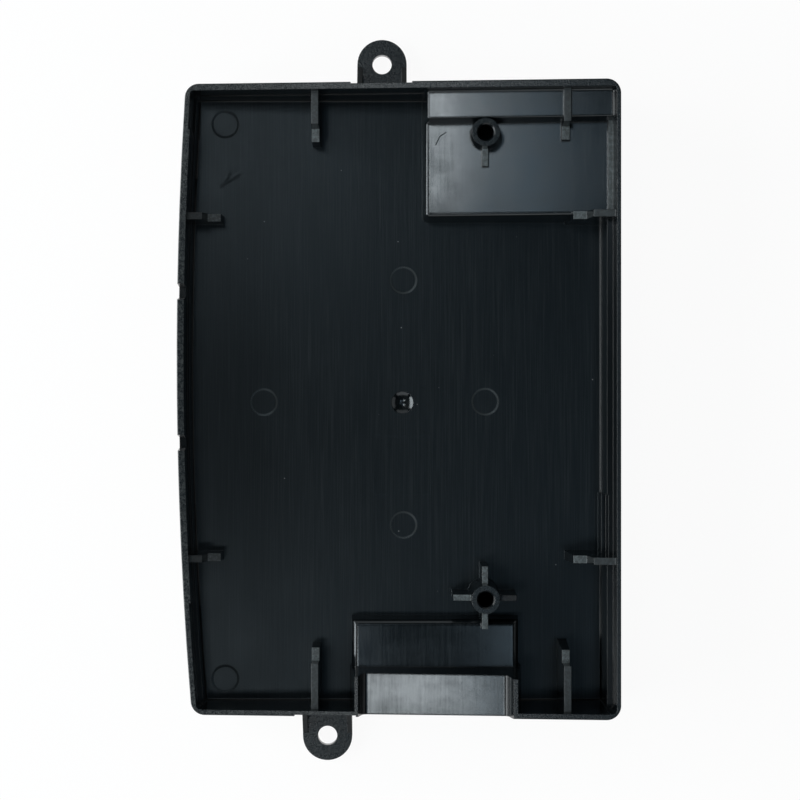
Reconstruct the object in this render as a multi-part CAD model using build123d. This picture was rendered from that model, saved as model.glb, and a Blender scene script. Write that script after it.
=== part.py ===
from build123d import *
from math import radians, sqrt, tan
import os

# Lower half of an injection-moulded electronics enclosure: one black ABS moulding.
#
# The open side faces up. The rim is a plane that climbs from the bowed wall to the straight wall,
# and the board seats, stops, pad and sill all lie in planes parallel to that rim. The walls, ribs
# and screw bosses stand square to the floor, as they leave the mould.
#
# Frame: origin at the middle of the outer face of the floor, +Z up, +Y along the length, -X towards
# the bowed wall. Lengths are in millimetres and angles in degrees.

# ---- Tray ----------------------------------------------------------------------------------------
tray_width = 100.0              # across X, from the crown of the bowed wall to the straight wall
tray_length = 143.1             # along Y
tray_shift_y = 0.15             # middle of the tray, measured from midway between the two ears
bow_radius = 950.0              # plan radius of the bowed wall
bow_crown_y = 9.5               # where the bowed wall stands furthest out
rim_height_low = 18.4           # height of the rim at the bowed wall
rim_height_high = 27.3          # height of the rim at the straight wall
corner_radius = 3.0             # outer upright corners
lip_corner_radius = 0.8         # upright corners of the tray's inside, above the board plane
foot_corner_radius = 0.4        # the same, below it
back_edge_radius = 0.9          # round on the edge of the outer floor
floor_thickness = 2.0
floor_fillet = 0.35             # where the walls meet the inner floor
outer_draft = 0.5
rim_edge = 0.25                 # round on the outer edge of the rim

# ---- Walls: above the board plane they thin to a lip, and a ledge is left at that plane ----------
bow_lip = 1.65
straight_lip = 0.95
top_lip = 1.6
bottom_lip = 1.4
bow_foot = 2.15
straight_foot = 2.4
top_foot = 1.85
bottom_foot = 1.4
foot_draft = 0.3
end_lip = 1.25                  # the bowed lip near both of its ends
end_lip_at_top = 10.3           # length of that thinner stretch at the +Y end
end_lip_at_bottom = 25.4        # and at the -Y end

# ---- Planes parallel to the rim, measured straight down from it ----------------------------------
stop_drop = 3.5                 # tops of the stops that locate the board's edges
sill_drop = 4.6                 # sill of the cut-out, and the high step of the pad
board_drop = 9.5                # seats of the circuit board
pad_drop = 11.5                 # low step of the pad

# ---- Ribs that seat and locate the circuit board -------------------------------------------------
rib_thickness = 1.6             # at the top of a stop
rib_draft = 0.75
seat_length = 3.0
end_rib_from_bow = 31.35        # ribs on the two end walls, from the outer face of a side wall
end_rib_from_straight = 11.6
side_rib_from_top = 29.7        # ribs on the two side walls, from the outer face of an end wall
side_rib_from_bottom = 35.2
board_from_top = 9.5            # from each wall's outer face to the board's edge, at the board plane
board_from_bottom = 11.6
board_from_bow = 6.4
board_from_straight = 6.85
bow_lead, straight_lead = 8.0, 10.0         # slope of the stops on each wall, from upright
top_lead, bottom_lead = 5.0, 0.4
low_tip_draft, high_tip_draft = 1.0, 4.0    # slope of the ribs' free ends

# ---- Screw bosses --------------------------------------------------------------------------------
boss_from_straight = 29.9       # axes of both bosses, from the walls' outer faces
boss_from_top = 11.2
boss_from_bottom = 26.3
boss_height = 20.5              # tops of both bosses above the outer floor
boss_diameter = 6.4             # at the top
boss_draft = 1.3
pilot_diameter = 3.5
pilot_depth = (7.5, 17.0)       # pilot holes of the two bosses
pilot_lead = 0.35               # chamfer at the mouth of a pilot hole
arm_thickness = 1.2
arm_draft = 0.75
arm_reach = 7.1                 # from the axis of a boss to the end of an arm

# ---- Two-level pad in the corner of the top wall and the straight wall ---------------------------
pad_width = 44.1                # from the straight wall's outer face to the foot of the free side
pad_length = 30.3               # from the top wall's outer face to the foot of the free end
pad_step_length = 9.1           # the same, to the foot of the high step
pad_draft = 3.4
pad_corner = 1.4
pad_edge = 0.9                  # round on the low step's edges
step_edge = 0.5                 # round on the high step's edges
step_root = 0.7                 # fillet where the high step meets the top wall
pad_ledge = 0.4                 # the straight wall's ledge is narrower by this beside the pad

# ---- Platform, sill and cut-out in the bottom wall -----------------------------------------------
platform_x = (-10.6, 28.15)     # foot of the platform's sides
platform_length = 21.15         # from the bottom wall's outer face to the foot of the free end
platform_height = 8.5           # above the inner floor
platform_draft = 2.0
platform_corner = 0             # its upright corners are sharp
platform_edge = 1.4
sill_x = (-10.95, 28.85)        # foot of the sill block's sides
sill_length = 10.6              # from the bottom wall's outer face to the foot of the inner end
sill_draft = 4.2
sill_corner = 1.6
cutout_x = (-8.75, 26.15)       # mouth of the cut-out, at the rim
cutout_flare = 13.0             # slope of the jambs
cutout_corner = 1.2

# ---- Pad and relief low on the straight wall -----------------------------------------------------
wall_pad_y = (-35.6, -21.6)
wall_pad_height = 8.6           # above the inner floor
wall_pad_depth = 0.65
wall_relief_depth = 0.4

# ---- Notches in the rim of the bowed wall --------------------------------------------------------
notch_y = (24.6, -9.7)
notch_mouth = 3.6
notch_floor = 2.4
notch_depth = 4.6

# ---- Fixing ears ---------------------------------------------------------------------------------
ear_x = (-3.5, -16.2)           # ear on the top wall, ear on the bottom wall
ear_reach = 6.75                # from an end wall to the hole of its ear, on the average of the two
ear_radius = 5.75
ear_hole = 4.5
ear_thickness = 2.5
gusset_thickness = 1.15
gusset_short = 0.6              # a gusset runs out this far short of the hole's axis
gusset_slope = 38.0
relief_width = 13.9             # shallow relief in the wall above each ear
relief_depth = 0.4

# ---- Marks of the mould --------------------------------------------------------------------------
pin_diameter = 6.0
pin_depth = 0.08
pin_places = ((1.5, 28.0), (-31.1, -0.5), (20.6, -0.4), (1.5, -29.2))
pin_from_bow = 9.9              # two more marks, in the corners of the bowed wall
pin_from_top = 7.3
pin_from_bottom = 6.3
gate_place = (1.25, -0.6)
gate_diameter = 5.2
gate_depth = 0.8

# ---- Pockets under the pad, the platform and the sill --------------------------------------------
skin = 2.0                      # wall left over and beside each pocket
pocket_corner = 0               # sharp, as out of sight

# ---- Worked out from the above -------------------------------------------------------------------
half_width = tray_width / 2
top_y = tray_shift_y + tray_length / 2
bottom_y = tray_shift_y - tray_length / 2
rise = rim_height_high - rim_height_low
clear = rim_height_high + 5.0   # a height above the whole tray
past = 5.0                      # how far a tool body runs past what it shapes
trim = 0.5                      # what stands on the floor is trimmed this far inside the walls

pad_x, pad_y = half_width - pad_width, top_y - pad_length
pad_step_y = top_y - pad_step_length
platform_y, sill_y = bottom_y + platform_length, bottom_y + sill_length
board_top_y, board_bottom_y = top_y - board_from_top, bottom_y + board_from_bottom
board_bow_x, board_straight_x = board_from_bow - half_width, half_width - board_from_straight
end_rib_x = (end_rib_from_bow - half_width, half_width - end_rib_from_straight)
side_rib_y = (top_y - side_rib_from_top, bottom_y + side_rib_from_bottom)
boss_x = half_width - boss_from_straight
boss_y = (top_y - boss_from_top, bottom_y + boss_from_bottom)
ear_hole_y = tray_length / 2 + ear_reach
gusset_end_y = ear_hole_y - gusset_short
corner_pins = ((pin_from_bow - half_width, top_y - pin_from_top),
               (pin_from_bow - half_width, bottom_y + pin_from_bottom))


def rim_height(x):
    """Height of the rim plane over a place across the width."""
    return rim_height_low + (x + half_width) * rise / tray_width


def rim_plane(drop):
    """Plane parallel to the rim, lower than it by drop."""
    corner = (-half_width, 0, rim_height_low - drop)
    return Plane(origin=corner, x_dir=(tray_width, 0, rise), z_dir=(-rise, 0, tray_width))


def under(solid, drop):
    return split(solid, bisect_by=rim_plane(drop), keep=Keep.BOTTOM)


def over(solid, drop):
    return split(solid, bisect_by=rim_plane(drop), keep=Keep.TOP)


def bow_x(y, inset):
    """Place across the width of the bowed wall's face, moved in from its outer face by inset."""
    radius = bow_radius - inset
    return radius + inset - half_width - sqrt(radius**2 - (y - bow_crown_y) ** 2)


def tray_plan(bow, straight, top, bottom, radius):
    """Plan of the tray with each wall's face moved in by its own amount."""
    high, low, right = top_y - top, bottom_y + bottom, half_width - straight
    crown = (bow - half_width, bow_crown_y)
    arc = ThreePointArc((bow_x(high, bow), high), crown, (bow_x(low, bow), low))
    rest = Polyline(arc @ 1, (right, low), (right, high), arc @ 0)
    plan = make_face([arc, rest])
    return fillet(plan.vertices(), radius)


def box(x_range, y_range, z_range):
    """Square-edged block between two places on each axis."""
    low, high = zip(x_range, y_range, z_range)
    size = [end - start for start, end in zip(low, high)]
    return Pos(*low) * Box(*size, align=Align.MIN)


def drafted(x_range, y_range, z_range, draft, radius):
    """Block whose plan, given at its foot, narrows by its draft as it rises."""
    size = [high - low for low, high in (x_range, y_range)]
    plan = RectangleRounded(*size, radius) if radius else Rectangle(*size)
    foot = Pos(sum(x_range) / 2, sum(y_range) / 2, z_range[0]) * plan
    return extrude(foot, amount=z_range[1] - z_range[0], taper=draft)


def prism(plane, points, length):
    """Closed outline on a plane, pushed the same length to both sides of it."""
    return extrude(plane * make_face(Polyline(*points, points[0])), amount=length, both=True)


def tapered(foot_half, draft, length):
    """Outline, on a plane square to the floor, of a band that narrows by its draft as it rises."""
    top_half = foot_half - clear * tan(radians(draft))
    points = [(-foot_half, 0), (foot_half, 0), (top_half, clear), (-top_half, clear)]
    return prism(Plane.YZ, points, length)


def turned(low_radius, high_radius, height):
    """Cone or cylinder that stands on the origin."""
    align = (Align.CENTER, Align.CENTER, Align.MIN)
    if low_radius == high_radius:
        return Cylinder(low_radius, height, align=align)
    return Cone(low_radius, high_radius, height, align=align)


def top_face(solid):
    return solid.faces().sort_by(Axis.Z)[-1]


def rim_face(solid):
    return solid.faces().sort_by(Axis((0, 0, 0), rim_plane(0).z_dir))[-1]


# ---- Floor and walls -----------------------------------------------------------------------------
def shell():
    inset = rim_height_high * tan(radians(outer_draft))
    body = extrude(tray_plan(*[inset] * 4, corner_radius), amount=clear, taper=-outer_draft)
    body = fillet(body.faces().sort_by(Axis.Z)[0].edges(), back_edge_radius)
    body = under(body, 0)

    foot = tray_plan(bow_foot, straight_foot, top_foot, bottom_foot, foot_corner_radius)
    well = extrude(Pos(0, 0, floor_thickness) * foot, amount=clear, taper=-foot_draft)
    well = fillet(well.faces().sort_by(Axis.Z)[0].edges(), floor_fillet)

    lips = (straight_lip, top_lip, bottom_lip)
    mouth = extrude(tray_plan(bow_lip, *lips, lip_corner_radius), amount=clear)
    ends = extrude(tray_plan(end_lip, *lips, lip_corner_radius), amount=clear)
    across, full = (-half_width, half_width), (0, clear)
    ends &= box(across, (top_y - end_lip_at_top, top_y), full) + box(
        across, (bottom_y, bottom_y + end_lip_at_bottom), full)
    body = body - well - over(mouth, board_drop) - over(ends, board_drop)
    return fillet(rim_face(body).outer_wire().edges(), rim_edge)


def wall_pad():
    """Thicker stretch low on the straight wall."""
    face = half_width - straight_foot
    depth = (face - wall_pad_depth, half_width - trim)
    height = (floor_thickness / 2, floor_thickness + wall_pad_height)
    return box(depth, wall_pad_y, height)


def wall_relief():
    """Shallow relief above the wall pad, up to the ledge at the board plane."""
    face = half_width - straight_foot
    depth = (face - wall_pad_depth, face + wall_relief_depth)
    return box(depth, wall_pad_y, (floor_thickness + wall_pad_height, clear))


def rim_notch(y):
    """Tapering notch across the lip of the bowed wall."""
    floor = rim_height_low - notch_depth
    slope = (notch_mouth - notch_floor) / 2 / notch_depth
    mouth = notch_floor / 2 + (clear - floor) * slope
    low = notch_floor / 2
    points = [(y - low, floor), (y + low, floor), (y + mouth, clear), (y - mouth, clear)]
    return prism(Plane.YZ.offset(-half_width), points, bow_lip + past / 4)


# ---- Ribs and bosses -----------------------------------------------------------------------------
def rib(place, towards, lead, tip_draft):
    """Stepped rib: a seat for the board, then a stop that runs back into its wall.

    place is where the seat meets the stop, and towards points from there to the wall.
    """
    frame = Plane(origin=(*place, 0), x_dir=(*towards, 0), z_dir=(0, 0, 1))
    stop_height = rim_height(place[0]) - stop_drop
    seat_height = rim_height(place[0]) - board_drop
    lean, flare = tan(radians(lead)), tan(radians(tip_draft))
    reach = tray_length

    tip_foot = -seat_length - seat_height * flare
    tip_top = -seat_length + (clear - seat_height) * flare
    seat = prism(Plane.XZ, [(tip_foot, 0), (tip_top, clear), (reach, clear), (reach, 0)], past)
    stop_foot, stop_top = -seat_height * lean, (clear - seat_height) * lean
    stop = prism(Plane.XZ, [(stop_foot, 0), (stop_top, clear), (reach, clear), (reach, 0)], past)

    foot_half = rib_thickness / 2 + stop_height * tan(radians(rib_draft))
    section = tapered(foot_half, rib_draft, reach)
    return under(frame * (seat & section), board_drop) + under(frame * (stop & section), stop_drop)


def ribs():
    low_high = (low_tip_draft, high_tip_draft)
    made = []
    for x, tip in zip(end_rib_x, low_high):
        made.append(rib((x, board_top_y), (0, 1), top_lead, tip))
        made.append(rib((x, board_bottom_y), (0, -1), bottom_lead, tip))
    for y in side_rib_y:
        made.append(rib((board_bow_x, y), (-1, 0), bow_lead, low_tip_draft))
        made.append(rib((board_straight_x, y), (1, 0), straight_lead, high_tip_draft))
    return made


def boss(y, arms):
    """Tapering screw boss with flat arms, whose tops lie in the board plane."""
    foot_radius = boss_diameter / 2 + boss_height * tan(radians(boss_draft))
    post = Pos(boss_x, y, 0) * turned(foot_radius, boss_diameter / 2, boss_height)
    slope = tan(radians(arm_draft))
    foot_half = arm_thickness / 2 + boss_height * slope
    foot_end = arm_reach + boss_height * slope
    top_end = foot_end - clear * slope
    for towards in arms:
        frame = Plane(origin=(boss_x, y, 0), x_dir=(*towards, 0), z_dir=(0, 0, 1))
        section = tapered(foot_half, arm_draft, 2 * arm_reach)
        side = prism(Plane.XZ, [(0, 0), (foot_end, 0), (top_end, clear), (0, clear)], past)
        post += under(frame * (section & side), board_drop)
    return post


def pilot_hole(y, depth):
    """Blind hole for a self-tapping screw, with a small lead-in."""
    radius = pilot_diameter / 2
    hole = Pos(0, 0, -depth) * turned(radius, radius, depth + past)
    lead = Pos(0, 0, -pilot_lead) * turned(radius, radius + pilot_lead, pilot_lead)
    return Pos(boss_x, y, boss_height) * (hole + lead)


# ---- Pad, platform and sill ----------------------------------------------------------------------
def pad():
    """Two-level pad in the corner."""
    side = (pad_x, half_width + past)
    tall = (floor_thickness, clear)
    low = under(drafted(side, (pad_y, top_y + past), tall, pad_draft, pad_corner), pad_drop)
    low = fillet(top_face(low).edges(), pad_edge)
    high = under(drafted(side, (pad_step_y, top_y + past), tall, pad_draft, pad_corner), sill_drop)
    high = fillet(top_face(high).edges(), step_edge)
    return low + high


def pad_relief():
    """Thinner stretch of the straight wall, from the side rib to the top wall."""
    face = half_width - straight_foot
    depth = (face - trim, face + pad_ledge)
    return box(depth, (side_rib_y[0], top_y - top_foot), (floor_thickness, rim_height_high - board_drop))


def step_edges(tray):
    """Edge where the top of the high step meets the top wall."""
    middle = ((pad_x + half_width) / 2, top_y - top_foot, 0)
    height = rim_height(middle[0]) - sill_drop
    along = [edge for edge in tray.edges() if edge.length > pad_width / 2]
    return min(along, key=lambda edge: (edge.center() - Vector(*middle[:2], height)).length)


def pad_pocket():
    """Pocket that keeps the pad's walls as thick as the rest."""
    side = (pad_x + skin, half_width - straight_foot)
    far = top_y - skin - trim / 2
    low = drafted(side, (pad_y + skin, far), (0, clear), pad_draft, pocket_corner)
    high = drafted(side, (pad_step_y + skin, far), (0, clear), pad_draft, pocket_corner)
    return under(low, pad_drop + skin) + under(high, sill_drop + skin)


def platform():
    """Low block on the inner side of the sill."""
    tall = (floor_thickness, floor_thickness + platform_height)
    block = drafted(platform_x, (sill_y - past, platform_y), tall, platform_draft, platform_corner)
    return fillet(top_face(block).edges(), platform_edge)


def sill_block():
    """Block behind the cut-out, as high as the rim until the cut-out is made."""
    tall = (floor_thickness, clear)
    block = drafted(sill_x, (bottom_y - past, sill_y), tall, sill_draft, sill_corner)
    return under(block, 0)


def cutout():
    """Cut-out through the bottom wall, down to the sill."""
    low_x, high_x = cutout_x
    flare = tan(radians(cutout_flare))
    low_rim, high_rim = rim_height(low_x), rim_height(high_x)
    low_foot, high_foot = low_x + low_rim * flare, high_x - high_rim * flare
    points = [(low_foot, 0), (high_foot, 0),
              (high_foot + clear * flare, clear), (low_foot - clear * flare, clear)]
    length = (sill_y - bottom_y) / 2 + past
    middle = (sill_y + bottom_y) / 2
    tool = over(prism(Plane.XZ.offset(-middle), points, length), sill_drop)
    floor = tool.faces().sort_by(Axis.Z)[0]
    return fillet(floor.edges().filter_by(Axis.Y), cutout_corner)


def sill_pocket():
    """Two-level pocket under the platform and the sill."""
    near = bottom_y + skin + trim / 2
    low_side = (platform_x[0] + skin, platform_x[1] - skin)
    low_tall = (0, floor_thickness + platform_height - skin)
    low = drafted(low_side, (near, platform_y - skin), low_tall, platform_draft, pocket_corner)
    high_side = (sill_x[0] + skin, sill_x[1] - skin)
    high = drafted(high_side, (near, sill_y - skin), (0, clear), sill_draft, pocket_corner)
    return low + under(high, sill_drop + skin)


# ---- Fixing ears ---------------------------------------------------------------------------------
def ear(x, side):
    """Round-ended ear flush with the back, with a sloping gusset along each of its edges."""
    wall = top_y if side > 0 else -bottom_y
    root = wall - bottom_lip + trim / 2
    frame = Plane(origin=(x, 0, 0), x_dir=(side, 0, 0), z_dir=(0, 0, 1))
    hole_centre = Pos(0, ear_hole_y)
    neck = Pos(0, (root + ear_hole_y) / 2) * Rectangle(2 * ear_radius, ear_hole_y - root)
    plan = hole_centre * Circle(ear_radius) + neck - hole_centre * Circle(ear_hole / 2)
    made = extrude(plan, amount=ear_thickness)
    peak = ear_thickness + (gusset_end_y - root) * tan(radians(gusset_slope))
    low = ear_thickness / 2
    points = [(root, low), (gusset_end_y, low), (gusset_end_y, ear_thickness), (root, peak)]
    middle = ear_radius - gusset_thickness / 2
    for place in (-middle, middle):
        made += prism(Plane.YZ.offset(place), points, gusset_thickness / 2)
    return frame * made


def ear_relief(x, side):
    """Shallow relief in the outer face of the wall, from the ear up to the rim."""
    wall = top_y if side > 0 else -bottom_y
    frame = Plane(origin=(x, 0, 0), x_dir=(side, 0, 0), z_dir=(0, 0, 1))
    half = relief_width / 2
    return frame * box((-half, half), (wall - relief_depth, wall + past), (ear_thickness, clear))


# ---- Marks of the mould --------------------------------------------------------------------------
def pin_mark(x, y):
    """Shallow round mark of an ejector pin."""
    return Pos(x, y, floor_thickness + past / 2 - pin_depth) * Cylinder(pin_diameter / 2, past)


def gate_dimple():
    """Round dimple at the gate."""
    radius = (gate_diameter**2 / 4 + gate_depth**2) / (2 * gate_depth)
    return Pos(*gate_place, floor_thickness + radius - gate_depth) * Sphere(radius)


def housing():
    tray = shell()
    core = extrude(tray_plan(*[trim] * 4, corner_radius), amount=clear)
    for y in notch_y:
        tray -= rim_notch(y)
    ears = list(zip(ear_x, (1, -1)))
    for x, side in ears:
        tray = tray - ear_relief(x, side) + ear(x, side)

    tray += wall_pad() & core
    tray -= wall_relief()
    tray -= pad_relief()
    tray += pad() & core
    tray = fillet(step_edges(tray), step_root)
    tray += (platform() + sill_block()) & core
    for one in ribs():
        tray += one & core
    four_arms = ((0, 1), (0, -1), (1, 0), (-1, 0))
    for y, depth, arms in zip(boss_y, pilot_depth, (((0, -1),), four_arms)):
        tray += boss(y, arms)
        tray -= pilot_hole(y, depth)
    tray -= cutout()
    tray -= pad_pocket()
    tray -= sill_pocket()
    for place in pin_places + corner_pins:
        tray -= pin_mark(*place)
    return tray - gate_dimple()


if __name__ == "__main__":
    os.makedirs("parts", exist_ok=True)
    part = housing()
    part.label = "housing"
    export_step(part, "parts/housing.step")
    print("housing", len(part.solids()), round(part.volume), part.bounding_box())
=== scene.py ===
"""Dresses a packed moulded housing: surface finishes, mould marks, studio and camera."""
import math

import bmesh
import bpy
from bpy.props import FloatProperty, FloatVectorProperty, PointerProperty
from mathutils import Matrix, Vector


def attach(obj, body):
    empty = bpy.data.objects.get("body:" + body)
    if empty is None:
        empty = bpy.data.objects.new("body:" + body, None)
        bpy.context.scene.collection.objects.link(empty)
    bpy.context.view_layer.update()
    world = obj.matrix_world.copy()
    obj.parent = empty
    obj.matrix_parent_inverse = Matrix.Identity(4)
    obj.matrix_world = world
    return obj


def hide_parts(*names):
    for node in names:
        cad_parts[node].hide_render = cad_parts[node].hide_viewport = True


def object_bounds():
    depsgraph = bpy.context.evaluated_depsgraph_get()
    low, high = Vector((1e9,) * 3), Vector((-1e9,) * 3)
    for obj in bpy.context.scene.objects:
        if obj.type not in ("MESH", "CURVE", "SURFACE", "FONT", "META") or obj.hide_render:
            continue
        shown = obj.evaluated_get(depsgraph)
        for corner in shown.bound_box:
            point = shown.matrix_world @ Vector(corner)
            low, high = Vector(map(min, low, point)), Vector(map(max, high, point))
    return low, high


bl_info = {
    "name": "Moulded Housing",
    "version": (1, 0, 0),
    "blender": (4, 5, 0),
    "location": "View3D > Sidebar > Housing",
    "description": "Builds the finishes of a moulded housing around its packed solid",
    "category": "Object",
}

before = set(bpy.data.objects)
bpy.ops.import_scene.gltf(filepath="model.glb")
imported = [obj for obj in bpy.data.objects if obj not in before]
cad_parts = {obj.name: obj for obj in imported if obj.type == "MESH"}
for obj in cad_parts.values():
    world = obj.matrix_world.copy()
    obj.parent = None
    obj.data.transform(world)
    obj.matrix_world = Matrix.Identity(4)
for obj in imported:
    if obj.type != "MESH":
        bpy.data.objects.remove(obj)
CAD_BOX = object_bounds()

NODE = "housing"
MM = 0.001

# ---- Where things lie on the moulding, in millimetres --------------------------------------------
# The rim climbs towards +X, and the other sloping planes lie parallel to it, so far straight below
RIM_LOW, RIM_RISE, HALF_WIDTH = 18.4, 0.089, 50.0
STOP_DROP, SILL_DROP, BOARD_DROP, PAD_DROP = 3.5, 4.6, 9.5, 11.5
FLOOR_Z, EAR_Z, BOSS_Z = 2.0, 2.5, 20.5
SUNK_Z = 1.0                    # the marks in the floor are sunk no lower than this

# How near a plane a face's middle has to lie, and how steeply its normal has to point up
SLOPE_REACH, LEVEL_REACH, PAD_REACH = 0.06, 0.02, 0.1
GATE_REACH, RIM_REACH, STEP_REACH, PLATFORM_REACH = 0.01, 0.3, 0.6, 0.05
LEVEL_UP, POLISH_UP, RIM_UP, FLOOR_UP = 0.9, 0.6, 0.5, 0.3

# Regions seen from above: the range along X, then the range along Y
FLOOR_AREA = ((-48.3, 48.0), (-70.2, 70.0))
BOARD_AREA = ((-45.0, 44.5), (-62.0, 64.5))
LEDGE_AREA = ((44.5, 51.0), (41.0, 72.0))       # the ledge beside the pad
PAD_AREA = ((5.6, 47.9), (41.0, 70.2))
PLATFORM_AREA = ((-11.2, 29.1), (-71.5, -50.0))
PLATFORM_ARM = ((18.8, 21.4), (-53.0, -50.0))
PAD_RIBS = (
    ((15.9, 24.3), (56.3, 64.7)),       # the screw boss
    ((18.8, 21.4), (52.0, 60.0)),       # the arm of the boss
    ((37.0, 39.8), (55.0, 71.0)),       # the rib on the end wall
    ((38.0, 49.0), (40.7, 43.3)),       # the rib on the side wall
)

# Round features: ejector-pin marks, the gate, the pilot holes of the two bosses
PIN_MARKS = ((1.5, 28.0), (-31.1, -0.5), (20.6, -0.4), (1.5, -29.2), (-40.1, 64.4), (-40.1, -65.1))
# The pale ring on each pin mark is a painted highlight of its rounded edge.
PIN_RADIUS, PIN_FADE = 3.0, 0.3         # the pale ring reaches so far to either side of the radius
GATE, GATE_RADIUS = (1.25, -0.6), 2.6
BOSSES, PILOT_RADIUS = ((20.1, 60.5), (20.1, -45.1)), 1.75
PILOT_MOUTH = 0.3                       # a pilot hole is left as its boss is down to this depth
ROUND_REACH = 0.1                       # how far outside its radius a round feature's faces may lie
PLAIN_ARM, PLAIN_ARM_REACH = (25.5, -45.1), 2.8         # the one boss arm without grain on its top

# Drawn marks: mould insert, scuffs on the floor, dents in the ledge, scratches on the pad. A stroke
# runs from one place to another
INSERT_CENTRE, INSERT_HALF, INSERT_LINE = (1.4, -15.2), 6.7, 0.25
SCUFFS, SCUFF_WIDTH = (((-41.1, 49.8), (-36.7, 52.6)), ((-40.0, 50.9), (-39.0, 52.8))), 0.5
DENTS, DENT_WIDTH = (((47.7, 49.0), (47.7, 52.2)),), 0.6
SCRATCHES, SCRATCH_WIDTH = (((8.9, 58.5), (9.8, 60.4)), ((9.8, 60.4), (11.2, 61.3))), 0.18

# ---- Details of the finishes ---------------------------------------------------------------------
# Gloss: how strongly a face mirrors, and its tint, a little blue as dark plastic shows it
REFRACTION, PLAIN_SHINE = 1.5, 0.5
RIM_SHINE, WALL_SHINE, FLOOR_SHINE, HOLLOW_SHINE = 0.36, 0.28, 0.27, 0.05
FLOOR_TINT, POLISH_TINT = (0.86, 1.0, 1.08, 1.0), (0.95, 1.0, 1.03, 1.0)
SCUFF_DULLNESS, SCRATCH_DULLNESS = 0.12, 0.25           # what a mark adds to the roughness

# The slow mottle of every face: its size in metres, and how far it moves the colour and roughness
MOTTLE_SIZE, MOTTLE_TONE, MOTTLE_GLOSS = 0.012, 0.14, 0.08

# Grains: painted shade in the pits and a painted glint on the peaks, as factors of a face's colour,
# how far the glint covers it, and the grains' size on smoother faces, as a factor of their size on
# the rim
RIM_PIT_SHADE, RIB_PIT_SHADE, STOP_PEAK_GLINT, SEAT_PEAK_GLINT = 2.2, 0.8, 2.2, 2.6
PEAK_GLINT_COVER = 0.8
RIM_RIGHT_GLINT = 0.06                        # share of that cover left at the rim's +X side
PAD_GRAIN, FLOOR_GRAIN = 1.6, 1.4

# Ranges of a noise: the one that it seldom leaves, and where a line, a smear and a grain rise
MIDDLE, LINE_RISE, SMEAR_RISE, GRAIN_RISE = (0.25, 0.75), (0.45, 0.75), (0.35, 0.7), (0.35, 0.8)

LINE_COLOUR, BRUSH_COLOUR = (0.011, 0.013, 0.014), (0.009, 0.011, 0.012)
# The ring colour is a painted highlight on the pin marks' rounded edges; the speck colour is dust.
RING_HIGHLIGHT, SPECK_COLOUR = (0.027, 0.031, 0.032), (0.15, 0.155, 0.16)
SPECK_PITCH, SPECK_SHARE = 0.0045, 0.3  # metres between specks, and the share that is there

# Lines and broader streaks along the inner floor, as factors of the lines' pitch
LINE_LENGTH, STREAK_WIDTH, STREAK_LENGTH = 100, 5, 250

# How often a pattern repeats in a metre along X, Y and Z
WALL_WAVES, PAD_WAVES = (250.0, 250.0, 60.0), (60.0, 25.0, 60.0)
BRUSH_LINES, SMEARS = (2600.0, 90.0, 2600.0), (120.0, 160.0, 120.0)

# Depths of relief
WALL_DEPTH, RIM_DEPTH, RIB_DEPTH = 0.02 * MM, 0.02 * MM, 0.03 * MM
POLISH_DEPTH, MARK_DEPTH = 0.04 * MM, 0.08 * MM


# ---- Sizes and colours ---------------------------------------------------------------------------
class PlasticSettings(bpy.types.PropertyGroup):
    """Colour and finishes of the moulding."""
    base: FloatVectorProperty(
        name="Plastic colour", description="Colour of the plastic itself", subtype="COLOR",
        default=(0.0022, 0.0034, 0.0042), min=0.0, max=1.0)
    # The rim colour is painted sheen: the grained rim painted paler than the black plastic.
    rim_sheen_colour: FloatVectorProperty(
        name="Rim colour", description="How light the grains of the rim look", subtype="COLOR",
        default=(0.040, 0.045, 0.045), min=0.0, max=1.0)
    # The stop colour is painted sheen, kept darker than the seats' colour as painted shade.
    stop_shaded_sheen: FloatVectorProperty(
        name="Stop colour", description="How light the tops of the stops look", subtype="COLOR",
        default=(0.016, 0.020, 0.0215), min=0.0, max=1.0)
    # The seat colour is painted sheen, the palest of the grained faces.
    seat_sheen_colour: FloatVectorProperty(
        name="Seat colour", description="How light the tops of the seats look", subtype="COLOR",
        default=(0.040, 0.048, 0.050), min=0.0, max=1.0)
    floor_roughness: FloatProperty(
        name="Floor roughness", description="Roughness of the inner floor",
        default=0.305, min=0.0, max=1.0)
    wall_roughness: FloatProperty(
        name="Wall roughness", description="Roughness of walls and ribs",
        default=0.2, min=0.0, max=1.0)
    polish_roughness: FloatProperty(
        name="Polish roughness", description="Roughness of the pad, the platform and the sill",
        default=0.14, min=0.0, max=1.0)
    rim_roughness: FloatProperty(
        name="Rim roughness", description="Roughness of the textured rim and ears",
        default=0.24, min=0.0, max=1.0)
    grain_roughness: FloatProperty(
        name="Grain roughness", description="Roughness of the textured tops of the ribs",
        default=0.4, min=0.0, max=1.0)
    hollow_roughness: FloatProperty(
        name="Hollow roughness", description="Roughness inside the pilot holes",
        default=0.7, min=0.0, max=1.0)
    polish_edge: FloatProperty(
        name="Polish edge", description="Radius of the rounded edges of the glossy faces",
        default=0.0004, min=0.0, unit="LENGTH", precision=5)
    edge_radius: FloatProperty(
        name="Edge radius", description="Radius that softens sharp edges",
        default=0.00018, min=0.0, unit="LENGTH", precision=5)
    grain_size: FloatProperty(
        name="Grain size", description="Size of one grain of the spark texture",
        default=0.00035, min=0.00001, unit="LENGTH", precision=5)
    line_pitch: FloatProperty(
        name="Line pitch", description="Spacing of the fine lines along the inner floor",
        default=0.00016, min=0.00001, unit="LENGTH", precision=5)
    line_depth: FloatProperty(
        name="Line depth", description="Depth of the fine lines along the inner floor",
        default=0.000012, min=0.0, unit="LENGTH", precision=6)


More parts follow.
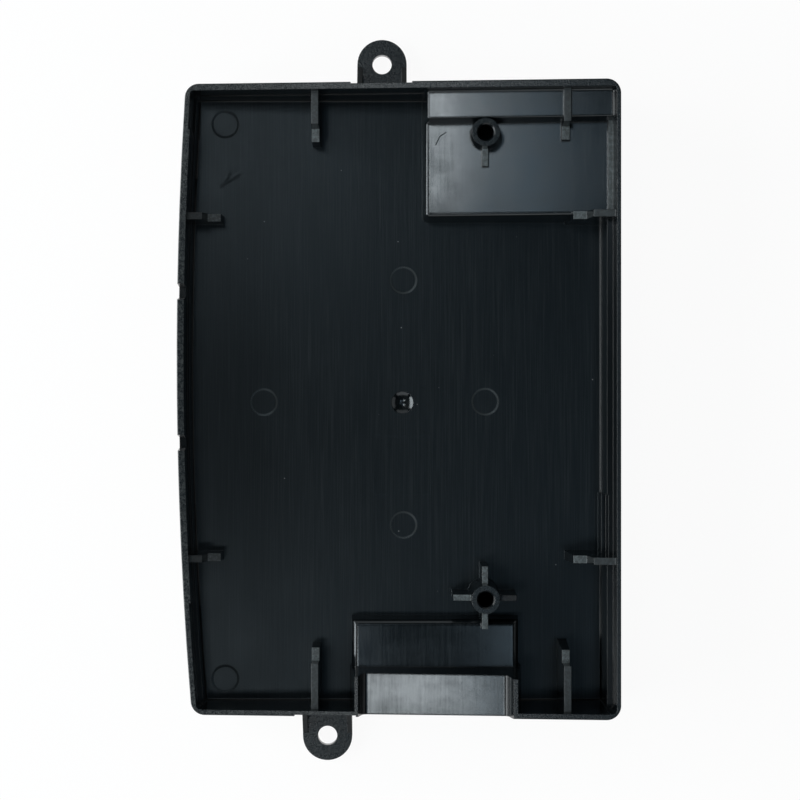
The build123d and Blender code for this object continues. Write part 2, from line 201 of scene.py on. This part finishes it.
class StudioSettings(bpy.types.PropertyGroup):
    """Camera, lamps and floor of the studio."""
    camera_place: FloatVectorProperty(
        name="Camera place", description="Where the camera stands, looking straight down",
        subtype="TRANSLATION", unit="LENGTH", default=(0.0007, 0.0, 0.542))
    lens: FloatProperty(
        name="Focal length", description="Focal length of the lens in millimetres",
        default=103.995, min=1.0)
    floor_size: FloatProperty(
        name="Floor size", description="Side of the pale floor", default=4.0, unit="LENGTH")
    floor_colour: FloatVectorProperty(
        name="Floor colour", description="Colour of the pale floor", subtype="COLOR",
        default=(0.9, 0.9, 0.9), min=0.0, max=1.0)
    floor_white: FloatProperty(
        name="Floor whiteness", description="How far the floor looks white whatever falls on it",
        default=0.94, min=0.0, max=1.0)
    ambient: FloatProperty(
        name="Ambient", description="Strength of the plain surrounding light",
        default=0.01, min=0.0)


def settings(context):
    """The values of the moulding and those of the studio, as the panel shows them."""
    return context.scene.plastic, context.scene.studio


# ---- Node helpers --------------------------------------------------------------------------------
class Tree:
    """Short way to add nodes to a node tree and to link or set their sockets."""

    def __init__(self, tree):
        self.nodes = tree.nodes
        self.links = tree.links

    def link(self, source, socket):
        self.links.new(source, socket)

    def find(self, kind):
        """The inputs of the node of a kind that the tree already has."""
        return next(node.inputs for node in self.nodes if node.type == kind)

    def add(self, kind, inputs=None, **values):
        """New node, with its own values set before its sockets are linked or set."""
        node = self.nodes.new(kind)
        for key, value in values.items():
            setattr(node, key, value)
        for key, value in (inputs or {}).items():
            if isinstance(value, bpy.types.NodeSocket):
                self.link(value, node.inputs[key])
            else:
                node.inputs[key].default_value = value
        return node

    def math(self, operation, *inputs, clamp=False):
        return self.add("ShaderNodeMath", dict(enumerate(inputs)),
                        operation=operation, use_clamp=clamp).outputs[0]

    def sum(self, first, second, share):
        """The first value and a share of the second."""
        return self.math("ADD", first, self.math("MULTIPLY", second, share))

    def most(self, values):
        """The largest of several values."""
        found = values[0]
        for value in values[1:]:
            found = self.math("MAXIMUM", found, value)
        return found

    def span(self, value, low, high, to_low=0.0, to_high=1.0):
        """Value mapped from one range to another, and held inside it."""
        return self.add("ShaderNodeMapRange", {0: value, 1: low, 2: high, 3: to_low, 4: to_high},
                        clamp=True).outputs[0]

    def beside(self, distance, width):
        """One where the distance is zero, falling to zero at the width."""
        return self.span(distance, 0.0, width, to_low=1.0, to_high=0.0)

    def blend(self, share, first, second):
        """The first colour, or the second where the share is one. The first may be a socket."""
        if not isinstance(first, bpy.types.NodeSocket):
            first = (*first, 1)
        return self.add("ShaderNodeMix", {"Factor": share, 6: first, 7: (*second, 1)},
                        data_type="RGBA").outputs[2]

    def vector(self, operation, *inputs, out=0):
        return self.add("ShaderNodeVectorMath", dict(enumerate(inputs)),
                        operation=operation).outputs[out]

    def flat(self, vector):
        """The vector with no height, so that a distance is measured across the floor."""
        return self.vector("MULTIPLY", vector, (1.0, 1.0, 0.0))

    def separate(self, vector):
        """The X, Y and Z of a vector."""
        return self.add("ShaderNodeSeparateXYZ", {0: vector}).outputs

    def noise(self, vector, scale, detail=2.0, roughness=0.5):
        return self.add("ShaderNodeTexNoise", {"Vector": vector, "Scale": scale,
                        "Detail": detail, "Roughness": roughness}).outputs["Fac"]

    def scaled(self, vector, scale):
        return self.add("ShaderNodeMapping", {"Vector": vector, "Scale": scale}).outputs[0]


# ---- Shared effects ------------------------------------------------------------------------------
def grain(tree, given):
    """Rounded random grains, as spark erosion leaves on a mould."""
    coarseness, fine_share, coarse_share = 0.42, 0.65, 0.5
    scale = tree.math("DIVIDE", 1.0, given["Size"])
    fine = tree.noise(given["Vector"], scale, detail=2.0, roughness=0.6)
    coarse = tree.noise(given["Vector"], tree.math("MULTIPLY", scale, coarseness), detail=1.0)
    mixed = tree.sum(tree.math("MULTIPLY", fine, fine_share), coarse, coarse_share)
    return tree.span(mixed, 0.3, 0.85)


def mottle(tree, given):
    """Slow unevenness of a moulded surface, about one half."""
    scale = tree.math("DIVIDE", 1.0, given["Size"])
    return tree.noise(given["Vector"], scale, detail=4.0, roughness=0.6)


def specks(tree, given):
    """Sparse tiny specks, one on a speck and zero around it."""
    core, halo = 0.018, 0.04            # as shares of the pitch
    cells = tree.add("ShaderNodeTexVoronoi", {
        "Vector": given["Vector"], "Scale": tree.math("DIVIDE", 1.0, given["Pitch"])}).outputs
    near_middle = tree.span(cells["Distance"], core, halo, to_low=1.0, to_high=0.0)
    chance = tree.add("ShaderNodeSeparateColor", {"Color": cells["Color"]}).outputs[0]
    chosen = tree.math("LESS_THAN", chance, given["Share"])
    return tree.math("MULTIPLY", near_middle, chosen)


def disc(tree, given):
    """A round step, one inside the radius and zero outside, with a sloped edge."""
    distance = tree.vector("DISTANCE", tree.flat(given["Vector"]), given["Centre"], out=1)
    inner = tree.math("SUBTRACT", given["Radius"], given["Edge"])
    return tree.span(distance, inner, given["Radius"], to_low=1.0, to_high=0.0)


def stroke(tree, given):
    """A soft stroke between two places, one along its middle and zero beside it."""
    away = tree.vector("SUBTRACT", tree.flat(given["Vector"]), given["Start"])
    along = tree.vector("SUBTRACT", given["End"], given["Start"])
    share = tree.math("DIVIDE", tree.vector("DOT_PRODUCT", away, along, out=1),
                      tree.vector("DOT_PRODUCT", along, along, out=1), clamp=True)
    nearest = tree.add("ShaderNodeVectorMath", {0: along, "Scale": share}, operation="SCALE")
    distance = tree.vector("DISTANCE", away, nearest.outputs[0], out=1)
    return tree.beside(distance, given["Width"])


def square(tree, given):
    """A thin outline of a square, one on the line and zero beside it."""
    corner_radius = 0.001
    away = tree.vector("SUBTRACT", tree.flat(given["Vector"]), given["Centre"])
    x, y, _ = tree.separate(tree.vector("ABSOLUTE", away))
    reach = tree.math("SMOOTH_MAX", x, y, corner_radius)
    distance = tree.math("ABSOLUTE", tree.math("SUBTRACT", reach, given["Half side"]))
    return tree.beside(distance, given["Width"])


# Each effect's node group: what builds it, its inputs and its output. A place has no default
EFFECTS = {
    "spark_grain": (grain, {"Vector": None, "Size": 0.0003}, "Height"),
    "mould_mottle": (mottle, {"Vector": None, "Size": 0.02}, "Value"),
    "dust_specks": (specks, {"Vector": None, "Pitch": 0.004, "Share": 0.1}, "Mask"),
    "round_step": (disc, {"Vector": None, "Centre": None, "Radius": 0.003, "Edge": 0.0005}, "Height"),
    "soft_stroke": (stroke, {"Vector": None, "Start": None, "End": None, "Width": 0.0003}, "Mask"),
    "square_outline": (square, {"Vector": None, "Centre": None, "Half side": 0.006,
                                "Width": 0.0002}, "Mask"),
}
PLACE, VALUE = "NodeSocketVector", "NodeSocketFloat"


def effect(name):
    """The node group of an effect, built when it is first asked for."""
    if name not in bpy.data.node_groups:
        build, inputs, output = EFFECTS[name]
        group = bpy.data.node_groups.new(name, "ShaderNodeTree")
        for label, default in inputs.items():
            kind = PLACE if default is None else VALUE
            socket = group.interface.new_socket(label, in_out="INPUT", socket_type=kind)
            if default is not None:
                socket.default_value = default
        group.interface.new_socket(output, in_out="OUTPUT", socket_type=VALUE)
        tree = Tree(group)
        result = build(tree, tree.add("NodeGroupInput").outputs)
        tree.link(result, tree.add("NodeGroupOutput").inputs[output])
    return bpy.data.node_groups[name]


# ---- Finishes ------------------------------------------------------------------------------------
def spot(place):
    """A place on the floor in metres, from its place in millimetres."""
    return (place[0] * MM, place[1] * MM, 0.0)


def shade(colour, factor):
    """A colour made lighter or darker."""
    return [part * factor for part in colour]


class Plastic:
    """A material in the plastic's colour, with uneven gloss and softened edges, to lay marks on."""

    def __init__(self, name, base, roughness, edge, shine=PLAIN_SHINE):
        self.material = bpy.data.materials.new(name)
        self.material.use_nodes = True
        self.tree = tree = Tree(self.material.node_tree)
        self.shader = tree.find("BSDF_PRINCIPLED")
        self.shader["IOR"].default_value = REFRACTION
        self.shader["Specular IOR Level"].default_value = shine
        self.where = tree.add("ShaderNodeTexCoord").outputs["Object"]
        uneven = self.place("mould_mottle", {"Size": MOTTLE_SIZE})
        self.colour = tree.blend(tree.span(uneven, *MIDDLE), shade(base, 1 - MOTTLE_TONE),
                                 shade(base, 1 + MOTTLE_TONE))
        self.gloss = tree.span(uneven, *MIDDLE, to_low=roughness * (1 - MOTTLE_GLOSS),
                               to_high=roughness * (1 + MOTTLE_GLOSS))
        self.normal = tree.add("ShaderNodeBevel", {"Radius": edge}, samples=6).outputs[0]

    def place(self, name, inputs):
        """A shared effect, with its own values in this material."""
        return self.tree.add("ShaderNodeGroup", {"Vector": self.where, **inputs},
                             node_tree=effect(name)).outputs[0]

    def noise(self, repeats, detail=2.0, roughness=0.5):
        """Noise that repeats so often in a metre along X, Y and Z."""
        return self.tree.noise(self.tree.scaled(self.where, repeats), 1.0, detail, roughness)

    def strokes(self, ends, width):
        """Mask of soft strokes, by the places where each ends and their width in millimetres."""
        return self.tree.most([
            self.place("soft_stroke", {"Start": spot(start), "End": spot(end), "Width": width * MM})
            for start, end in ends])

    def tint(self, mask, colour):
        """Blends the colour towards another where the mask is one."""
        self.colour = self.tree.blend(mask, self.colour, colour)

    def roughen(self, amount):
        """Adds to the roughness."""
        self.gloss = self.tree.math("ADD", self.gloss, amount)

    def bump(self, height, depth):
        """Lays a relief on the normal."""
        self.normal = self.tree.add("ShaderNodeBump", {
            "Height": height, "Normal": self.normal, "Distance": depth, "Strength": 1.0}).outputs[0]

    def done(self):
        """The material, with all that was laid on it so far."""
        self.tree.link(self.colour, self.shader["Base Color"])
        self.tree.link(self.gloss, self.shader["Roughness"])
        self.tree.link(self.normal, self.shader["Normal"])
        return self.material


def wall_material(look):
    """Smooth upright walls."""
    made = Plastic("plastic_wall", look.base, look.wall_roughness, look.edge_radius, WALL_SHINE)
    made.bump(made.noise(WALL_WAVES, detail=3.0), WALL_DEPTH)
    return made.done()


def hollow_material(look):
    """Dull inside of the pilot holes."""
    return Plastic("plastic_hollow", look.base, look.hollow_roughness, look.edge_radius,
                   HOLLOW_SHINE).done()


def polish_material(look):
    """Glossy faces with faint brush lines along the length, smears and a scratch or two."""
    made = Plastic("plastic_polish", look.base, look.polish_roughness, look.polish_edge)
    made.shader["Specular Tint"].default_value = POLISH_TINT
    tree = made.tree
    brush = made.noise(BRUSH_LINES, detail=3.0, roughness=0.6)
    smear = made.noise(SMEARS, detail=4.0, roughness=0.65)
    scratches = made.strokes(SCRATCHES, SCRATCH_WIDTH)
    made.tint(tree.span(brush, *LINE_RISE), BRUSH_COLOUR)
    made.roughen(tree.span(brush, *SMEAR_RISE, to_low=-0.015, to_high=0.025))
    made.roughen(tree.span(smear, *SMEAR_RISE, to_low=-0.02, to_high=0.04))
    made.roughen(tree.math("MULTIPLY", scratches, SCRATCH_DULLNESS))
    relief = tree.sum(made.noise(PAD_WAVES), brush, share=0.022)
    grains = made.place("spark_grain", {"Size": look.grain_size * PAD_GRAIN})
    made.bump(tree.sum(relief, grains, share=0.02), POLISH_DEPTH)
    return made.done()


def floor_material(look):
    """Fine lines along the length spread a reflection sideways; mould marks lie on them."""
    made = Plastic("plastic_floor", look.base, look.floor_roughness, look.edge_radius, FLOOR_SHINE)
    made.shader["Specular Tint"].default_value = FLOOR_TINT
    tree = made.tree
    fine = 1.0 / look.line_pitch
    lines = made.noise((fine, fine / LINE_LENGTH, fine))
    streaks = made.noise((fine / STREAK_WIDTH, fine / STREAK_LENGTH, fine))
    grains = made.place("spark_grain", {"Size": look.grain_size * FLOOR_GRAIN})
    relief = tree.sum(tree.sum(lines, streaks, share=0.6), grains, share=0.2)
    made.tint(tree.span(lines, *LINE_RISE), LINE_COLOUR)

    # the short upright edge of a pin mark is shaded like the floor around it, and painted paler as a
    # painted highlight
    discs = tree.most([
        made.place("round_step", {"Centre": spot(centre), "Radius": (PIN_RADIUS + PIN_FADE) * MM,
                                  "Edge": 2 * PIN_FADE * MM})
        for centre in PIN_MARKS])
    slope = tree.math("MULTIPLY", discs, tree.math("SUBTRACT", 1.0, discs))
    ring_highlight = tree.math("MULTIPLY", slope, 4.0, clamp=True)
    made.tint(ring_highlight, RING_HIGHLIGHT)
    made.normal = tree.add("ShaderNodeMix", {"Factor": ring_highlight, 4: made.normal, 5: (0.0, 0.0, 1.0)},
                           data_type="VECTOR").outputs[1]
    made.bump(relief, look.line_depth)

    insert = made.place("square_outline", {
        "Centre": spot(INSERT_CENTRE), "Half side": INSERT_HALF * MM, "Width": INSERT_LINE * MM})
    sunk = tree.math("MULTIPLY", discs, -1.0)
    made.bump(tree.sum(sunk, insert, share=0.12), MARK_DEPTH)
    made.tint(made.place("dust_specks", {"Pitch": SPECK_PITCH, "Share": SPECK_SHARE}), SPECK_COLOUR)
    made.roughen(tree.math("MULTIPLY", made.strokes(SCUFFS, SCUFF_WIDTH), SCUFF_DULLNESS))
    return made.done()


def textured_material(name, look, pit_shade, peak_glint, roughness, depth, right=1.0, shine=PLAIN_SHINE):
    """Faces that keep the grain of the mould, in painted sheen: a painted glint on its peaks, painted
    shade in its pits.
    Towards +X the share of the glint falls to the value of right."""
    # the grained face's own colour, lighter than the plastic, is painted sheen, with painted shade in
    # its pits
    made = Plastic(name, pit_shade, roughness, look.edge_radius, shine)
    tree = made.tree
    grains = made.place("spark_grain", {"Size": look.grain_size})
    x, _, _ = tree.separate(made.where)
    share = tree.span(x, -HALF_WIDTH * MM, HALF_WIDTH * MM, to_low=1.0, to_high=right)
    # a painted glint on the peaks of the grain, fading towards +X
    pale = tree.span(grains, *GRAIN_RISE, to_low=0.0, to_high=PEAK_GLINT_COVER)
    made.tint(tree.math("MULTIPLY", pale, share), peak_glint)
    made.tint(made.strokes(DENTS, DENT_WIDTH), look.base)
    made.bump(grains, depth)
    return made.done()


def rim_material(look):
    """Textured rim and ears in painted sheen, paler towards -X."""
    return textured_material("plastic_rim", look, shade(look.base, RIM_PIT_SHADE), look.rim_sheen_colour,
                             look.rim_roughness, RIM_DEPTH, RIM_RIGHT_GLINT, RIM_SHINE)


def rib_material(name, look, colour, peak_glint):
    """Textured tops of ribs in painted sheen, with a painted glint on the peaks that many times as
    light as their colour.
    """
    return textured_material(name, look, shade(colour, RIB_PIT_SHADE), shade(colour, peak_glint),
                             look.grain_roughness, RIB_DEPTH)


def stop_material(look):
    """Textured tops of the stops, in painted sheen darkened by painted shade."""
    return rib_material("plastic_stop", look, look.stop_shaded_sheen, STOP_PEAK_GLINT)


def seat_material(look):
    """Textured tops of the board seats, in the palest painted sheen."""
    return rib_material("plastic_seat", look, look.seat_sheen_colour, SEAT_PEAK_GLINT)


# What makes the material of each finish
FINISHES = {
    "wall": wall_material,
    "floor": floor_material,
    "polish": polish_material,
    "rim": rim_material,
    "stop": stop_material,
    "seat": seat_material,
    "hollow": hollow_material,
}


# ---- The moulding --------------------------------------------------------------------------------
def drop_below_rim(point):
    """How far a point, in millimetres, lies straight below the plane of the rim."""
    return RIM_LOW + (point.x + HALF_WIDTH) * RIM_RISE - point.z


def inside(point, area):
    """Whether a point stands in a region, seen from above."""
    (low_x, high_x), (low_y, high_y) = area
    return low_x < point.x < high_x and low_y < point.y < high_y


def near(point, places, reach):
    """Whether a point stands within reach of one of the places, seen from above."""
    return any(math.hypot(point.x - x, point.y - y) < reach for x, y in places)


def polished(point, drop):
    """Whether a face that points up is part of the pad, the sill, their step or the platform."""
    if inside(point, PAD_AREA):
        in_plane = min(abs(drop - PAD_DROP), abs(drop - SILL_DROP)) < PAD_REACH
        on_rib = any(inside(point, rib) for rib in PAD_RIBS)
        return in_plane or (drop > SILL_DROP - STEP_REACH and not on_rib)
    if inside(point, PLATFORM_AREA):
        return drop > SILL_DROP - PLATFORM_REACH and not inside(point, PLATFORM_ARM)
    return False


def finish(point, normal):
    """Which finish a face has, by its middle in millimetres and its direction."""
    drop = drop_below_rim(point)
    level = normal.z > LEVEL_UP
    if near(point, [GATE], GATE_RADIUS + ROUND_REACH) and SUNK_Z < point.z < FLOOR_Z - GATE_REACH:
        return "polish"
    if inside(point, FLOOR_AREA) and SUNK_Z < point.z < FLOOR_Z + LEVEL_REACH:
        if normal.z > FLOOR_UP or near(point, PIN_MARKS, PIN_RADIUS + ROUND_REACH):
            return "floor"
    if near(point, BOSSES, PILOT_RADIUS + ROUND_REACH) and FLOOR_Z < point.z < BOSS_Z - PILOT_MOUTH:
        return "hollow"
    if drop < RIM_REACH and normal.z > RIM_UP:
        return "rim"
    if level and abs(drop - STOP_DROP) < SLOPE_REACH:
        return "stop"
    if level and near(point, [PLAIN_ARM], PLAIN_ARM_REACH):
        return "wall"
    if level and abs(drop - BOARD_DROP) < SLOPE_REACH:
        return "seat" if inside(point, BOARD_AREA) or inside(point, LEDGE_AREA) else "wall"
    if level and min(abs(point.z - EAR_Z), abs(point.z - BOSS_Z)) < LEVEL_REACH:
        return "rim"
    if normal.z > POLISH_UP and point.z > FLOOR_Z and polished(point, drop):
        return "polish"
    return "wall"


def join_faces(mesh):
    """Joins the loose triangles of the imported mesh, and gives each face its finish."""
    merge_distance = 0.002 * MM
    slots = list(FINISHES)
    tools = bmesh.new()
    tools.from_mesh(mesh)
    origin = tools.faces.layers.int.new("source_face")
    for face in tools.faces:
        face[origin] = face.index
    bmesh.ops.remove_doubles(tools, verts=tools.verts, dist=merge_distance)
    for face in tools.faces:
        face.smooth = True
        middle = face.calc_center_median() / MM
        face.material_index = slots.index(finish(middle, face.normal))
    tools.to_mesh(mesh)
    tools.free()


def keep_normals(source, mesh):
    """Gives a joined mesh the normals that its source has at each face's corners."""
    normals = [Vector(corner.vector) for corner in source.corner_normals]
    faces = mesh.attributes["source_face"].data
    wanted = []
    for polygon in mesh.polygons:
        old = source.polygons[faces[polygon.index].value]
        corners = [(source.vertices[source.loops[i].vertex_index].co, i)
                   for i in old.loop_indices]
        for loop in polygon.loop_indices:
            corner = mesh.vertices[mesh.loops[loop].vertex_index].co
            _, nearest = min(corners, key=lambda place: (place[0] - corner).length_squared)
            wanted.append(normals[nearest])
    mesh.attributes.remove(mesh.attributes["source_face"])
    mesh.normals_split_custom_set(wanted)


class PLASTIC_OT_housing(bpy.types.Operator):
    """Dress the moulding: one joined mesh with a finish for each kind of surface"""
    bl_idname = "plastic.housing"
    bl_label = "Moulding"

    def execute(self, context):
        look, _ = settings(context)
        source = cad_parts[NODE].data
        mesh = source.copy()
        mesh.name = "moulding"
        # clearing the slots resets every face to the first one, so they are filled before the faces
        mesh.materials.clear()
        for material in FINISHES.values():
            mesh.materials.append(material(look))
        join_faces(mesh)
        keep_normals(source, mesh)
        piece = bpy.data.objects.new("moulding", mesh)
        context.scene.collection.objects.link(piece)
        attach(piece, "root")
        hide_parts(NODE)
        return {"FINISHED"}


# ---- Studio --------------------------------------------------------------------------------------
WHITE = (1.0, 1.0, 1.0, 1.0)
CLEAR, COOL = (0.95, 1.0, 1.02), (0.74, 0.98, 1.18)

# Soft boxes above the object, which shine straight down: name, place, width and depth in metres,
# brightness of the lamp's face, and colour
BOX_HEIGHT = 0.56
BOXES = (
    ("window_near", (-0.105, -0.135), (0.09, 0.04), 10.2, CLEAR),
    ("window_far", (-0.085, 0.13), (0.03, 0.08), 12.0, CLEAR),
    ("window_far_wide", (-0.15, 0.16), (0.10, 0.04), 5.2, CLEAR),
    ("window_near_edge", (-0.045, -0.125), (0.03, 0.05), 2.6, COOL),
    ("window_far_edge", (-0.045, 0.11), (0.05, 0.10), 1.6, COOL),
    ("glow_far", (0.0, 0.11), (0.04, 0.05), 0.6, COOL),
    ("glow_near", (0.095, -0.11), (0.09, 0.06), 1.9, COOL),
    ("glow_middle", (0.01, -0.11), (0.08, 0.08), 0.12, COOL),
    ("glow_right", (0.10, 0.02), (0.08, 0.16), 0.6, COOL),
)

# Large clear lamps around the object, aimed at its middle: name, place in metres and brightness
SIDE_HEIGHT, SIDE_SIZE = 0.35, (0.9, 0.6)
SIDES = (
    ("side_left", (-0.75, 0.0), 7.0),
    ("side_right", (0.75, 0.0), 0.7),
    ("end_far", (0.0, 0.75), 0.7),
    ("end_near", (0.0, -0.75), 1.2),
)

SENSOR_WIDTH = 36.0                     # millimetres
CLIP_NEAR, CLIP_FAR = 0.01, 20.0        # metres, as are the values below
GROUND_ROUGHNESS, GROUND_GAP = 0.9, 0.0001      # the gap keeps it clear of the underside
SKY_COLOUR = (0.93, 1.0, 1.0, 1.0)


def area_lamp(context, name, location, target, size, brightness, colour):
    """Adds a soft box whose face has the same brightness whatever its size."""
    data = bpy.data.lights.new(name, "AREA")
    data.shape = "RECTANGLE"
    data.size, data.size_y = size
    data.energy = brightness * math.pi * size[0] * size[1]
    data.color = colour
    lamp = bpy.data.objects.new(name, data)
    lamp.location = location
    aim = Vector(target) - Vector(location)
    lamp.rotation_euler = aim.to_track_quat("-Z", "Y").to_euler()
    context.scene.collection.objects.link(lamp)


class PLASTIC_OT_studio(bpy.types.Operator):
    """Set up the pale floor, the lamps, the surrounding light and the camera"""
    bl_idname = "plastic.studio"
    bl_label = "Studio"

    def execute(self, context):
        _, studio = settings(context)
        scene = context.scene
        self.camera(scene, studio)
        self.floor(scene, studio)
        self.world(scene, studio)
        for name, (x, y), size, brightness, colour in BOXES:
            area_lamp(context, name, (x, y, BOX_HEIGHT), (x, y, 0.0), size, brightness, colour)
        for name, (x, y), brightness in SIDES:
            location, middle = (x, y, SIDE_HEIGHT), (0.0, 0.0, 0.0)
            area_lamp(context, name, location, middle, SIDE_SIZE, brightness, CLEAR)
        scene.view_settings.view_transform = "Standard"
        return {"FINISHED"}

    def camera(self, scene, studio):
        """A camera that looks straight down."""
        data = bpy.data.cameras.new("camera")
        data.lens = studio.lens
        data.sensor_width = SENSOR_WIDTH
        data.clip_start, data.clip_end = CLIP_NEAR, CLIP_FAR
        made = bpy.data.objects.new("camera", data)
        made.location = studio.camera_place
        scene.collection.objects.link(made)
        scene.camera = made

    def floor(self, scene, studio):
        """A pale floor that looks nearly white to the camera and in reflections."""
        material = bpy.data.materials.new("studio_floor")
        material.use_nodes = True
        tree = Tree(material.node_tree)
        shader = tree.find("BSDF_PRINCIPLED")
        shader["Base Color"].default_value = (*studio.floor_colour, 1)
        shader["Roughness"].default_value = GROUND_ROUGHNESS
        path = tree.add("ShaderNodeLightPath").outputs
        seen = tree.most([path["Is Glossy Ray"], path["Is Transmission Ray"], path["Is Camera Ray"]])
        glow = tree.add("ShaderNodeEmission", {"Color": WHITE, "Strength": 1.0}).outputs[0]
        surface = tree.find("OUTPUT_MATERIAL")["Surface"]
        mixed = tree.add("ShaderNodeMixShader", {0: tree.math("MULTIPLY", seen, studio.floor_white),
                         1: surface.links[0].from_socket, 2: glow}).outputs[0]
        tree.link(mixed, surface)
        mesh = bpy.data.meshes.new("studio_floor")
        tools = bmesh.new()
        bmesh.ops.create_grid(tools, x_segments=1, y_segments=1, size=studio.floor_size / 2)
        bmesh.ops.translate(tools, verts=tools.verts, vec=(0, 0, CAD_BOX[0].z - GROUND_GAP))
        tools.to_mesh(mesh)
        tools.free()
        mesh.materials.append(material)
        made = bpy.data.objects.new("studio_floor", mesh)
        scene.collection.objects.link(made)

    def world(self, scene, studio):
        """Dim light from all around, which looks white to the camera."""
        world = bpy.data.worlds.new("studio_world")
        world.use_nodes = True
        tree = Tree(world.node_tree)
        tree.nodes.clear()
        path = tree.add("ShaderNodeLightPath").outputs
        dim = tree.add("ShaderNodeBackground", {"Color": SKY_COLOUR, "Strength": studio.ambient})
        bright = tree.add("ShaderNodeBackground", {"Color": WHITE, "Strength": 1.0})
        mixed = tree.add("ShaderNodeMixShader", {0: path["Is Camera Ray"], 1: dim.outputs[0],
                         2: bright.outputs[0]}).outputs[0]
        tree.add("ShaderNodeOutputWorld", {"Surface": mixed})
        scene.world = world


# ---- Panel and registration ----------------------------------------------------------------------
class PLASTIC_PT_panel(bpy.types.Panel):
    """Lists what builds the housing and its studio"""
    bl_label = "Moulded Housing"
    bl_idname = "PLASTIC_PT_panel"
    bl_space_type = "VIEW_3D"
    bl_region_type = "UI"
    bl_category = "Housing"

    def draw(self, context):
        for holder in settings(context):
            box = self.layout.box()
            for name in holder.bl_rna.properties.keys():
                if name not in {"rna_type", "name"}:
                    box.prop(holder, name)
        for operator in OPERATORS:
            self.layout.operator(operator.bl_idname)


OPERATORS = (PLASTIC_OT_housing, PLASTIC_OT_studio)
CLASSES = (PlasticSettings, StudioSettings, *OPERATORS, PLASTIC_PT_panel)


def register():
    for made in CLASSES:
        bpy.utils.register_class(made)
    bpy.types.Scene.plastic = PointerProperty(type=PlasticSettings)
    bpy.types.Scene.studio = PointerProperty(type=StudioSettings)


def unregister():
    del bpy.types.Scene.studio
    del bpy.types.Scene.plastic
    for made in reversed(CLASSES):
        bpy.utils.unregister_class(made)


def main():
    register()
    bpy.ops.plastic.housing()
    bpy.ops.plastic.studio()


if __name__ == "__main__":
    main()
